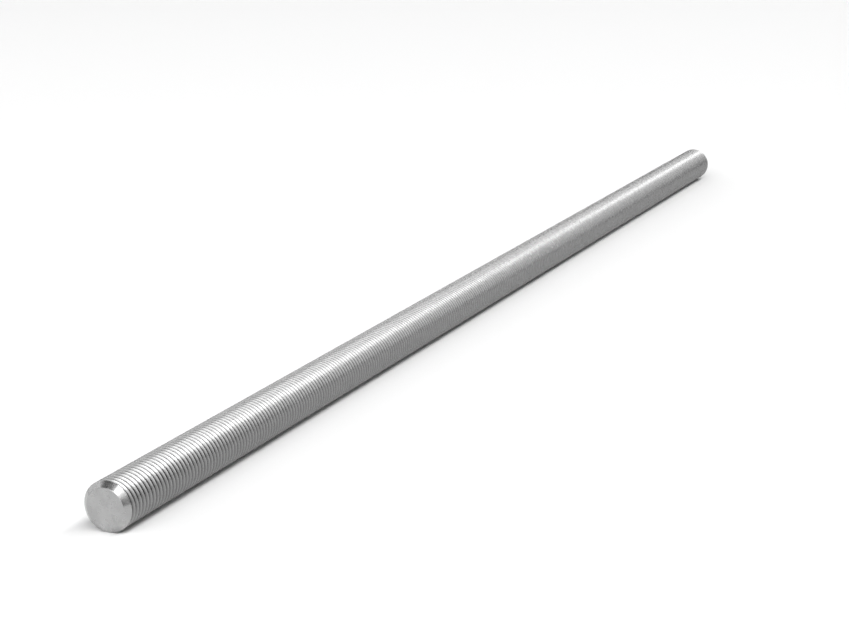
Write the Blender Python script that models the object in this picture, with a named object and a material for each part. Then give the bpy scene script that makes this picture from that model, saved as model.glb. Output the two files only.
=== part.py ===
"""A straight steel rod, threaded along its whole length, with a 45 degree chamfer at each end.

It lies on its side along X. The origin is on the rod's axis, halfway along it. The solid is the
rod's envelope: a bar of the thread's major diameter.
"""

import math

import bmesh
import bpy
from mathutils import Matrix

# Driving dimensions, in metres: the major diameter is that of a one inch coarse thread.
LENGTH = 1.0
MAJOR_DIAMETER = 0.0254

# The chamfer is wider than the thread's 1.95 mm depth, so it stays whole and a nut finds the
# first turn.
CHAMFER = 0.0028

# Flat sides of the round bar. A multiple of four puts one flat exactly underneath.
SIDES = 48
SMOOTH_ANGLE = math.radians(30)


def clear_scene():
    for obj in list(bpy.data.objects):
        bpy.data.objects.remove(obj)


def plated_steel():
    material = bpy.data.materials.new("bright_steel")
    material.use_nodes = True
    shader = material.node_tree.nodes["Principled BSDF"]
    shader.inputs["Base Color"].default_value = (0.62, 0.62, 0.62, 1.0)
    shader.inputs["Metallic"].default_value = 1.0
    shader.inputs["Roughness"].default_value = 0.3
    return material


def bar_along_x(length, diameter, sides):
    """A bar along X whose flats are the given diameter apart, with one flat underneath."""
    half_turn = math.pi / sides
    bpy.ops.mesh.primitive_cylinder_add(
        vertices=sides,
        radius=diameter / 2 / math.cos(half_turn),
        depth=length,
        end_fill_type="NGON",
    )
    bar = bpy.context.active_object
    # The half turn brings a flat, not a corner, to the bottom once the bar lies down.
    flat_side_down = Matrix.Rotation(half_turn, 4, "Z")
    lie_along_x = Matrix.Rotation(math.pi / 2, 4, "Y")
    bar.data.transform(lie_along_x @ flat_side_down)
    return bar


def chamfer_ends(bar, width):
    """Bevels the two rims, which are the edges that lie in an end plane."""
    mesh = bmesh.new()
    mesh.from_mesh(bar.data)
    rims = [edge for edge in mesh.edges if abs(edge.verts[0].co.x - edge.verts[1].co.x) < width]
    bmesh.ops.bevel(mesh, geom=rims, offset=width, segments=1, affect="EDGES")
    mesh.to_mesh(bar.data)
    mesh.free()


def threaded_rod():
    rod = bar_along_x(LENGTH, MAJOR_DIAMETER, SIDES)
    rod.name = "threaded_rod"
    chamfer_ends(rod, CHAMFER)
    rod.data.materials.append(plated_steel())
    rod.data.shade_smooth()
    rod.data.set_sharp_from_angle(angle=SMOOTH_ANGLE)
    return rod


clear_scene()
threaded_rod()
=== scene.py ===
"""A one inch threaded steel rod lying on a white studio floor, seen from beyond its left end.

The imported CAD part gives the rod's box: its length and its major diameter. This script cuts the
60 degree helical thread and the two chamfers inside that box, and gives the rod its looks.
Angles round the rod start at its top and turn towards -Y, the side that faces the camera.
"""

import math

import bpy
import numpy as np
from mathutils import Matrix, Vector


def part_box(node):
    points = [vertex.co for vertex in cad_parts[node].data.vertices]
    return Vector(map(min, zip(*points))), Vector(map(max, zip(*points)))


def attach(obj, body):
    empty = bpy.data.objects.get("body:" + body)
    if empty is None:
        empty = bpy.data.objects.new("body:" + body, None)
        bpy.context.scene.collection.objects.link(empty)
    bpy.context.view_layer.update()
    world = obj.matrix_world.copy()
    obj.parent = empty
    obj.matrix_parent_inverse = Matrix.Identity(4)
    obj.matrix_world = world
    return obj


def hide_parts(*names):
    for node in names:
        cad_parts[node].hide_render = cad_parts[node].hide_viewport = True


# ---------------------------------------------------------------------------------------------
# The thread and the ends, in metres
# ---------------------------------------------------------------------------------------------
PITCH = 0.0254 / 8
THREAD_DEPTH = 0.61343 * PITCH
FLANK_LEAN = math.radians(60)
CREST_RADIUS = 0.03 * PITCH
CREST_FLAT = PITCH / 8 - 2 * CREST_RADIUS * math.tan(math.radians(30))
ROOT_RADIUS = 0.14434 * PITCH
CREST_HALF = CREST_FLAT / 2 + CREST_RADIUS * math.sin(FLANK_LEAN)
ROOT_HALF = ROOT_RADIUS * math.sin(FLANK_LEAN)
START_ANGLE = math.radians(306)
CHAMFER = 0.0028
CHAMFER_LEAN = math.radians(45)
EDGE_BREAK = 0.00025

# How finely the surfaces are cut up: one piece may have up to 200,000 triangles.
SIDES = 44
ARC_STEPS = 1
CUTTER_SIDES = 96
EDGE_BREAK_STEPS = 3

# What the Booleans' meshes reach past the rod, in turns, in metres and as a share of the depth.
SPARE_TURNS = 2
CUTTER_MARGIN = 0.002
COLLAR_OVERLAP = 1.05

# How closely a face has to fit a surface to count as part of it.
END_LEAN = 0.9999
EDGE_LEAN = 0.72
EDGE_REACH = 0.35 * EDGE_BREAK
CONE_MISS = 0.03 * CHAMFER
CONE_LEAN_MISS = 0.02
STRAY_ANGLE = math.radians(40)
TINY = 1e-9

# ---------------------------------------------------------------------------------------------
# The looks. Grain is in features per metre along each axis, and relief is in metres.
# ---------------------------------------------------------------------------------------------
NOISE_RANGE = (0.3, 0.7)

THREAD_GREY = 0.27
# Painted shade in the grooves: the thread grey is darkened by this factor, growing from GROOVE_START
# down to GROOVE_END below the crests.
GROOVE_PAINTED_SHADE = 0.28
GROOVE_START = 0.05 * PITCH
GROOVE_END = 0.5 * PITCH
PATCH_GRAIN = (120, 240, 240)
PATCH_SHADE = (0.96, 1.04)
THREAD_DULL_GRAIN = (500, 300, 300)
THREAD_ROUGHNESS = (0.22, 0.3)
STREAK_GRAIN = (9000, 260, 260)
STREAK_RELIEF = 0.0000025

END_GREY = 0.42
BLOTCH_GRAIN = (1, 190, 120)
BLOTCH_SHADE = (0.86, 1.04)
END_DULL_GRAIN = (300, 300, 300)
END_ROUGHNESS = (0.22, 0.3)
TOOL_MARK_SCALE = 1300.0
TOOL_MARK_WOBBLE = 1.2
TOOL_MARK_RELIEF = 0.0000012

FLOOR_GREY = (0.84, 0.86)
FLOOR_GRAIN = (400, 400, 400)
FLOOR_ROUGHNESS = (0.85, 0.95)
FLOOR_SHINE = 0.2
FLOOR_RELIEF = 0.00002

# ---------------------------------------------------------------------------------------------
# The studio. The camera's distances are in units of the rod's radius.
# ---------------------------------------------------------------------------------------------
LENS_MM = 91.507
SENSOR_MM = 36.0
CAMERA_AZIMUTH = math.radians(22.62)
CAMERA_ELEVATION = math.radians(13.949)
CAMERA_DISTANCE_R = 105.54
AIM_ALONG_R = 30.24
AIM_ABOVE_R = 0.32
NEAREST_SEEN = 0.01
FARTHEST_SEEN = 100.0
FLOOR_HALF = 20.0
SOFTBOX_DISTANCE = 12.0
WORLD_GLOW = 0.035


# ---------------------------------------------------------------------------------------------
# The thread
# ---------------------------------------------------------------------------------------------
def thread_profile(radius):
    """One pitch as (distance along, radius) points: a flat crest with round corners, a round root."""
    leans = [FLANK_LEAN * step / ARC_STEPS for step in range(ARC_STEPS + 1)]
    crest = [
        (CREST_FLAT / 2 + CREST_RADIUS * math.sin(a), radius - CREST_RADIUS * (1 - math.cos(a)))
        for a in leans
    ]
    flank = (PITCH / 2 - CREST_HALF - ROOT_HALF) * math.tan(FLANK_LEAN)
    bottom = crest[-1][1] - flank - ROOT_RADIUS * (1 - math.cos(FLANK_LEAN))
    root = [
        (PITCH / 2 - ROOT_RADIUS * math.sin(a), bottom + ROOT_RADIUS * (1 - math.cos(a)))
        for a in reversed(leans)
    ]
    falling = crest + root
    rising = [(-x, r) for x, r in reversed(falling)]
    # The first point, the root's lowest, belongs to the turn before.
    return rising[1:] + falling


def thread_shift(length):
    """How far along the crests are moved: a groove would meet the left face at START_ANGLE."""
    return (-length / 2 - PITCH / 2 - PITCH * START_ANGLE / (2 * math.pi)) % PITCH


def helix_points(profile, turns, shift):
    """Rows of points along the rod, each of them one point of the profile carried round one turn."""
    per_turn = len(profile)
    row = np.arange(turns * per_turn + 1)
    along = (row // per_turn - turns / 2) * PITCH + profile[row % per_turn, 0]
    radii = profile[row % per_turn, 1]
    column = np.arange(SIDES)
    angle = 2 * math.pi * column / SIDES
    x = shift + along[:, None] + PITCH * column[None, :] / SIDES
    y = -radii[:, None] * np.sin(angle)[None, :]
    z = radii[:, None] * np.cos(angle)[None, :]
    return np.stack([x, y, z], axis=2).reshape(-1, 3)


def helix_sides(per_turn, last):
    """The four-sided faces between the rows of points."""

    # Past the last column, a row carries on as the row one pitch further along.
    def point(i, j):
        return np.where(j == SIDES, (i + per_turn) * SIDES, i * SIDES + j)

    i, j = np.meshgrid(np.arange(last), np.arange(SIDES), indexing="ij")
    inside = (j < SIDES - 1) | (i + 1 + per_turn <= last)
    i, j = i[inside], j[inside]
    return np.stack([point(i, j), point(i, j + 1), point(i + 1, j + 1), point(i + 1, j)], axis=1)


def helix_body(radius, length):
    """Points and faces of a closed helical body that is longer than the rod."""
    profile = np.array(thread_profile(radius))
    per_turn = len(profile)
    turns = 2 * int(math.ceil(length / PITCH / 2)) + 2 * SPARE_TURNS
    last = turns * per_turn
    points = helix_points(profile, turns, thread_shift(length))

    # Each end's rim goes once round, then down the step of one pitch that the last column leaves.
    first_rim = list(range(SIDES)) + [i * SIDES for i in range(per_turn, 0, -1)]
    last_rim = [last * SIDES + j for j in range(SIDES)]
    last_rim += [i * SIDES + SIDES - 1 for i in range(last - 1, last - per_turn - 1, -1)]
    ends = np.array([[points[first_rim, 0].mean(), 0, 0], [points[last_rim, 0].mean(), 0, 0]])
    faces = helix_sides(per_turn, last).tolist()
    faces += fan(first_rim, len(points), reverse=True)
    faces += fan(last_rim, len(points) + 1, reverse=False)
    return np.concatenate([points, ends]), faces


def fan(rim, centre, reverse):
    """Triangles from a centre point to each edge of a closed rim."""
    pairs = zip(rim, rim[1:] + rim[:1])
    return [(b, a, centre) if reverse else (a, b, centre) for a, b in pairs]


# ---------------------------------------------------------------------------------------------
# The envelope, and the Booleans that fit the thread to it
# ---------------------------------------------------------------------------------------------
def mesh_object(name, points, faces):
    mesh = bpy.data.meshes.new(name)
    mesh.from_pydata(np.asarray(points).tolist(), [], faces)
    mesh.update()
    obj = bpy.data.objects.new(name, mesh)
    bpy.context.scene.collection.objects.link(obj)
    return obj


def revolved(name, outline, sides):
    """A closed body turned about the X axis from (x, radius) points, with a flat face at each end."""
    angle = 2 * math.pi * np.arange(sides) / sides
    x = np.array([p[0] for p in outline])
    radii = np.array([p[1] for p in outline])
    y = -radii[:, None] * np.sin(angle)[None, :]
    z = radii[:, None] * np.cos(angle)[None, :]
    points = np.stack([np.repeat(x[:, None], sides, axis=1), y, z], axis=2).reshape(-1, 3)
    faces = []
    for i in range(len(outline) - 1):
        for j in range(sides):
            k = (j + 1) % sides
            faces.append((i * sides + j, i * sides + k, (i + 1) * sides + k, (i + 1) * sides + j))
    faces.append(tuple(range(sides - 1, -1, -1)))
    faces.append(tuple(range((len(outline) - 1) * sides, len(outline) * sides)))
    return mesh_object(name, points, faces)


def mirrored(outline):
    """The same outline at the rod's other end."""
    return [(-x, r) for x, r in reversed(outline)]


def envelope_outline(radius, length, chamfer):
    """The left end's outline: a face that meets the chamfer in a small round edge.

    The chamfer's cone runs on past the thread's crests, so that only the two ends are cut.
    """
    flat = radius - chamfer - EDGE_BREAK * math.tan(CHAMFER_LEAN / 2)
    turns = [CHAMFER_LEAN * step / EDGE_BREAK_STEPS for step in range(EDGE_BREAK_STEPS + 1)]
    edge = [
        (-length / 2 + EDGE_BREAK * (1 - math.cos(turn)), flat + EDGE_BREAK * math.sin(turn))
        for turn in turns
    ]
    return edge + [(-length / 2 + chamfer + CUTTER_MARGIN, radius + CUTTER_MARGIN)]


def collar_outline(radius, length, chamfer):
    """The solid left end that the first groove stops against, so that the chamfer is unbroken."""
    depth = THREAD_DEPTH * COLLAR_OVERLAP
    return [
        (-length / 2 - CUTTER_MARGIN, radius),
        (-length / 2 + chamfer, radius),
        (-length / 2 + chamfer + depth / math.tan(FLANK_LEAN), radius - depth),
    ]


def combined(body, other, operation):
    """The body after one Boolean with the other mesh, as a plain mesh on the body."""
    step = body.modifiers.new("step", "BOOLEAN")
    step.operation = operation
    step.solver = "MANIFOLD"
    step.object = other
    graph = bpy.context.evaluated_depsgraph_get()
    mesh = bpy.data.meshes.new_from_object(body.evaluated_get(graph), depsgraph=graph)
    body.modifiers.clear()
    body.data = mesh
    bpy.data.objects.remove(other)
    return body


def threaded_rod(low, high):
    """The rod with its real thread, filling the CAD node's box."""
    length = high.x - low.x
    radius = (high.z - low.z) / 2
    points, faces = helix_body(radius, length)
    rod = mesh_object("threaded_rod_visual", points, faces)
    collar = collar_outline(radius, length, CHAMFER)
    rod = combined(rod, revolved("left_collar", collar, CUTTER_SIDES), "UNION")
    rod = combined(rod, revolved("right_collar", mirrored(collar), CUTTER_SIDES), "UNION")
    outline = envelope_outline(radius, length, CHAMFER)
    outline += mirrored(outline)
    rod = combined(rod, revolved("rod_envelope", outline, CUTTER_SIDES), "INTERSECT")
    exact_shading(rod, radius, length, CHAMFER)
    rod.location = (low + high) / 2
    return rod


# ---------------------------------------------------------------------------------------------
# Normals: each face corner gets the true surface's, since the mesh is too coarse to shade well
# ---------------------------------------------------------------------------------------------
def thread_normals(points, middles, radius, length):
    """Outward normals of the thread at points, each on the stretch that its face's middle is on."""

    def place(p):
        """Metres along the rod from the nearest crest, and the angle round the rod."""
        angle = np.arctan2(-p[:, 1], p[:, 2])
        turn = (p[:, 0] - thread_shift(length)) / PITCH - angle / (2 * math.pi)
        return (turn - np.round(turn)) * PITCH, angle

    along, angle = place(points)
    face_along, _ = place(middles)
    # A point on the seam between two turns counts with the turn that its face is on.
    along = along + PITCH * np.round((face_along - along) / PITCH)

    side = np.sign(face_along)
    lean = side * math.sin(FLANK_LEAN)
    crest = np.abs(face_along) < CREST_HALF
    beyond_flat = np.maximum(np.abs(along) - CREST_FLAT / 2, 0) * np.sign(along)
    lean = np.where(crest, beyond_flat / CREST_RADIUS, lean)
    root = np.abs(face_along) > PITCH / 2 - ROOT_HALF
    lean = np.where(root, (side * PITCH / 2 - along) / ROOT_RADIUS, lean)
    lean = np.clip(lean, -math.sin(FLANK_LEAN), math.sin(FLANK_LEAN))

    slope = lean / np.sqrt(1 - lean * lean)
    out = np.stack([np.zeros_like(angle), -np.sin(angle), np.cos(angle)], axis=1)
    round_way = np.stack([np.zeros_like(angle), -np.cos(angle), -np.sin(angle)], axis=1)
    lead = (PITCH / (2 * math.pi * radius) * slope)[:, None]
    normals = out + slope[:, None] * np.array([1.0, 0.0, 0.0]) - lead * round_way
    return normals / np.linalg.norm(normals, axis=1)[:, None]


def mesh_arrays(mesh):
    """Each face's middle and normal, and each face corner's place and the face that it is on."""
    count = len(mesh.polygons)
    middles = np.empty(count * 3)
    faces = np.empty(count * 3)
    totals = np.empty(count, int)
    mesh.polygons.foreach_get("center", middles)
    mesh.polygons.foreach_get("normal", faces)
    mesh.polygons.foreach_get("loop_total", totals)
    corners = np.empty(len(mesh.loops), int)
    mesh.loops.foreach_get("vertex_index", corners)
    points = np.empty(len(mesh.vertices) * 3)
    mesh.vertices.foreach_get("co", points)
    owner = np.repeat(np.arange(count), totals)
    return middles.reshape(-1, 3), faces.reshape(-1, 3), points.reshape(-1, 3)[corners], owner


def turned_faces(middles, faces, radius, length, chamfer):
    """Which faces are on a flat end, on a chamfer's cone, and on the round edge between them."""
    reach = length / 2 - np.abs(middles[:, 0])
    spread = np.hypot(middles[:, 1], middles[:, 2])
    out = (faces[:, 1:] * middles[:, 1:]).sum(axis=1) / np.maximum(spread, TINY)
    sideways = np.abs(faces[:, 0])
    on_end = sideways >= END_LEAN
    on_cone = np.abs(spread - (radius - chamfer + reach)) < CONE_MISS
    on_cone &= np.abs(out - math.cos(CHAMFER_LEAN)) < CONE_LEAN_MISS
    on_edge = (reach < EDGE_REACH) & (sideways > EDGE_LEAN) & (sideways < END_LEAN)
    return on_end, on_cone, on_edge


def exact_shading(obj, radius, length, chamfer):
    """Gives each face corner its normal, and each face slot 0 for the thread or 1 for the ends."""
    mesh = obj.data
    mesh.materials.clear()
    middles, faces, points, owner = mesh_arrays(mesh)
    on_end, on_cone, on_edge = turned_faces(middles, faces, radius, length, chamfer)
    normals = thread_normals(points, middles[owner], radius, length)

    # Where a groove stops against the collar, a face is far from the thread's surface. It is
    # conical there, like the chamfer: its own lean, turned smoothly round the axis.
    strayed = (normals * faces[owner]).sum(axis=1) < math.cos(STRAY_ANGLE)
    conical = strayed | on_cone[owner] | on_edge[owner]
    spread = np.hypot(points[:, 1], points[:, 2])
    out = points[:, 1:] / np.maximum(spread, TINY)[:, None]
    sideways = np.clip(faces[owner[conical], 0], -1, 1)
    across = np.sqrt(1 - sideways**2)[:, None]
    normals[conical] = np.concatenate([sideways[:, None], across * out[conical]], axis=1)
    flat = on_end[owner]
    normals[flat] = faces[owner[flat]]

    slots = (on_end | on_cone | on_edge).astype(np.int32)
    mesh.polygons.foreach_set("material_index", slots)
    mesh.polygons.foreach_set("use_smooth", np.ones(len(slots), bool))
    mesh.normals_split_custom_set(normals.tolist())
    mesh.update()


# ---------------------------------------------------------------------------------------------
# Materials
# ---------------------------------------------------------------------------------------------
def new_material(name):
    material = bpy.data.materials.new(name)
    material.use_nodes = True
    nodes = material.node_tree.nodes
    return material, nodes, material.node_tree.links, nodes["Principled BSDF"]


def grey(level):
    return (level, level, level, 1.0)


def own_place(nodes, links, stretch):
    """The object's own coordinates, scaled by a different amount along each axis."""
    place = nodes.new("ShaderNodeTexCoord")
    scaled = nodes.new("ShaderNodeVectorMath")
    scaled.operation = "MULTIPLY"
    scaled.inputs[1].default_value = stretch
    links.new(place.outputs["Object"], scaled.inputs[0])
    return scaled.outputs[0]


def noise(nodes, links, grain, detail):
    texture = nodes.new("ShaderNodeTexNoise")
    texture.inputs["Scale"].default_value = 1.0
    texture.inputs["Detail"].default_value = detail
    links.new(own_place(nodes, links, grain), texture.inputs["Vector"])
    return texture.outputs[0]


def remapped(nodes, links, value, source, target):
    """The value with the source range spread over the target range, and held inside it."""
    spread = nodes.new("ShaderNodeMapRange")
    spread.inputs["From Min"].default_value = source[0]
    spread.inputs["From Max"].default_value = source[1]
    spread.inputs["To Min"].default_value = target[0]
    spread.inputs["To Max"].default_value = target[1]
    links.new(value, spread.inputs["Value"])
    return spread.outputs[0]


def blend(nodes, links, factor, darkest, lightest):
    """A grey between two, by the factor."""
    mix = nodes.new("ShaderNodeMix")
    mix.data_type = "RGBA"
    mix.inputs["A"].default_value = grey(darkest)
    mix.inputs["B"].default_value = grey(lightest)
    links.new(factor, mix.inputs["Factor"])
    return mix.outputs["Result"]


def shaded(nodes, links, colour, value):
    """The colour made lighter or darker by the value."""
    scaled = nodes.new("ShaderNodeVectorMath")
    scaled.operation = "SCALE"
    links.new(colour, scaled.inputs[0])
    links.new(value, scaled.inputs["Scale"])
    return scaled.outputs[0]


def roughened(nodes, links, shader, value, roughness):
    """Gives the shader a roughness that follows the noise over a range."""
    links.new(remapped(nodes, links, value, NOISE_RANGE, roughness), shader.inputs["Roughness"])


def embossed(nodes, links, shader, height, relief):
    """Gives the shader a fine relief."""
    bump = nodes.new("ShaderNodeBump")
    bump.inputs["Strength"].default_value = 1.0
    bump.inputs["Distance"].default_value = relief
    links.new(height, bump.inputs["Height"])
    links.new(bump.outputs["Normal"], shader.inputs["Normal"])


def painted_groove_shade(nodes, links, radius):
    """Thread grey on the crests, and painted shade that darkens it down in the grooves, where shade
    falls.
    """
    spread = nodes.new("ShaderNodeVectorMath")
    spread.operation = "LENGTH"
    links.new(own_place(nodes, links, (0, 1, 1)), spread.inputs[0])
    groove = (radius - GROOVE_END, radius - GROOVE_START)
    lift = remapped(nodes, links, spread.outputs["Value"], groove, (0, 1))
    return blend(nodes, links, lift, THREAD_GREY * GROOVE_PAINTED_SHADE, THREAD_GREY)


def bright_steel(radius):
    """The thread: fine streaks that run round the rod, slightly duller and brighter patches, and
    painted shade in the grooves.
    """
    material, nodes, links, shader = new_material("bright_steel")
    shader.inputs["Metallic"].default_value = 1.0
    patches = noise(nodes, links, PATCH_GRAIN, 3)
    shade = remapped(nodes, links, patches, NOISE_RANGE, PATCH_SHADE)
    # The thread grey here carries painted shade down in the grooves.
    colour = shaded(nodes, links, painted_groove_shade(nodes, links, radius), shade)
    links.new(colour, shader.inputs["Base Color"])
    dull = noise(nodes, links, THREAD_DULL_GRAIN, 3)
    roughened(nodes, links, shader, dull, THREAD_ROUGHNESS)
    embossed(nodes, links, shader, noise(nodes, links, STREAK_GRAIN, 2), STREAK_RELIEF)
    return material


def tool_marks(nodes, links):
    """Concentric rings about the rod's axis."""
    rings = nodes.new("ShaderNodeTexWave")
    rings.wave_type = "RINGS"
    rings.rings_direction = "X"
    rings.inputs["Scale"].default_value = TOOL_MARK_SCALE
    rings.inputs["Distortion"].default_value = TOOL_MARK_WOBBLE
    rings.inputs["Detail"].default_value = 2.0
    links.new(own_place(nodes, links, (1, 1, 1)), rings.inputs["Vector"])
    return rings.outputs["Fac"]


def turned_steel():
    """The turned ends: concentric tool marks, with slightly uneven grey and roughness."""
    material, nodes, links, shader = new_material("turned_steel")
    shader.inputs["Metallic"].default_value = 1.0
    blotches = noise(nodes, links, BLOTCH_GRAIN, 4)
    light = remapped(nodes, links, blotches, NOISE_RANGE, (0, 1))
    darkest, lightest = BLOTCH_SHADE
    colour = blend(nodes, links, light, END_GREY * darkest, END_GREY * lightest)
    links.new(colour, shader.inputs["Base Color"])
    dull = noise(nodes, links, END_DULL_GRAIN, 3)
    roughened(nodes, links, shader, dull, END_ROUGHNESS)
    embossed(nodes, links, shader, tool_marks(nodes, links), TOOL_MARK_RELIEF)
    return material


def white_floor():
    """A matt white paper sweep with a very faint tooth."""
    material, nodes, links, shader = new_material("white_floor")
    shader.inputs["Specular IOR Level"].default_value = FLOOR_SHINE
    fibres = noise(nodes, links, FLOOR_GRAIN, 3)
    links.new(blend(nodes, links, fibres, *FLOOR_GREY), shader.inputs["Base Color"])
    roughened(nodes, links, shader, fibres, FLOOR_ROUGHNESS)
    embossed(nodes, links, shader, fibres, FLOOR_RELIEF)
    return material


# ---------------------------------------------------------------------------------------------
# The studio
# ---------------------------------------------------------------------------------------------
def studio_floor(level):
    corners = [(-1, -1), (1, -1), (1, 1), (-1, 1)]
    points = [(FLOOR_HALF * x, FLOOR_HALF * y, level) for x, y in corners]
    floor = mesh_object("studio_floor", points, [(0, 1, 2, 3)])
    floor.data.materials.append(white_floor())


def softbox(name, azimuth, elevation, width, height, glow):
    """A distant area light facing the rod's middle, with its place and size given in degrees."""
    turn, rise = math.radians(azimuth), math.radians(elevation)
    back = Vector(
        (math.cos(rise) * math.cos(turn), math.cos(rise) * math.sin(turn), math.sin(rise))
    )
    across = Vector((-math.sin(turn), math.cos(turn), 0))
    light = bpy.data.lights.new(name, "AREA")
    light.shape = "RECTANGLE"
    light.size = 2 * SOFTBOX_DISTANCE * math.tan(math.radians(width / 2))
    light.size_y = 2 * SOFTBOX_DISTANCE * math.tan(math.radians(height / 2))
    light.energy = glow * math.pi * light.size * light.size_y
    lamp = bpy.data.objects.new(name, light)
    bpy.context.scene.collection.objects.link(lamp)
    facing = Matrix((across, back.cross(across), back)).transposed().to_4x4()
    lamp.matrix_world = Matrix.Translation(back * SOFTBOX_DISTANCE) @ facing


def studio_lights():
    """Softboxes by azimuth, seen from above and counted from +X, elevation, width, height, glow."""
    softbox("overhead_key", 262, 64, 84, 16, 6.1)
    softbox("left_panel", 180, 32, 34, 46, 2.6)
    softbox("left_strip", 180, 25, 30, 10, 7.0)
    softbox("camera_side", 210, 23, 30, 42, 2.1)
    softbox("back_left", 135, 34, 60, 22, 1.9)
    softbox("right_panel", 330, 38, 30, 20, 1.7)
    softbox("far_panel", 0, 36, 30, 12, 0.6)
    softbox("low_back", 30, 7, 40, 13, 2.9)
    softbox("dim_back", 85, 16, 60, 28, 1.0)
    softbox("low_front", 270, 10, 60, 14, 0.9)


def studio_world():
    world = bpy.data.worlds.new("studio")
    bpy.context.scene.world = world
    world.use_nodes = True
    background = world.node_tree.nodes["Background"]
    background.inputs["Color"].default_value = grey(1.0)
    background.inputs["Strength"].default_value = WORLD_GLOW


def studio_camera(near_end, radius):
    """Looks down along the rod from beyond its left end."""
    aim = near_end + Vector((AIM_ALONG_R, 0, AIM_ABOVE_R)) * radius
    level = Vector((math.cos(CAMERA_AZIMUTH), math.sin(CAMERA_AZIMUTH), 0))
    forward = level * math.cos(CAMERA_ELEVATION) - Vector((0, 0, math.sin(CAMERA_ELEVATION)))
    data = bpy.data.cameras.new("studio_camera")
    data.lens = LENS_MM
    data.sensor_width = SENSOR_MM
    data.sensor_fit = "HORIZONTAL"
    data.clip_start = NEAREST_SEEN
    data.clip_end = FARTHEST_SEEN
    camera = bpy.data.objects.new("studio_camera", data)
    bpy.context.scene.collection.objects.link(camera)
    camera.location = aim - forward * CAMERA_DISTANCE_R * radius
    camera.rotation_euler = forward.to_track_quat("-Z", "Y").to_euler()
    bpy.context.scene.camera = camera


# ---------------------------------------------------------------------------------------------
# The scene
# ---------------------------------------------------------------------------------------------
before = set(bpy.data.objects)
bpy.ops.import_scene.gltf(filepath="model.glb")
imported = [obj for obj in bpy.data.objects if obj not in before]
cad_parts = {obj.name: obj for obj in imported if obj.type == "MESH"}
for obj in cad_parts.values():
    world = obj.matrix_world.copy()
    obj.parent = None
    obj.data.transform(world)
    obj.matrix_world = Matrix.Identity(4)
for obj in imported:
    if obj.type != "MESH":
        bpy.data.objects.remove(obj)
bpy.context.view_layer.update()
low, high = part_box("threaded_rod")
radius = (high.z - low.z) / 2
near_end = Vector((low.x, (low.y + high.y) / 2, (low.z + high.z) / 2))

rod = threaded_rod(low, high)
rod.data.materials.append(bright_steel(radius))
rod.data.materials.append(turned_steel())
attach(rod, "root")
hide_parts("threaded_rod")

studio_floor(low.z)
studio_lights()
studio_world()
studio_camera(near_end, radius)
bpy.context.scene.view_settings.view_transform = "Standard"
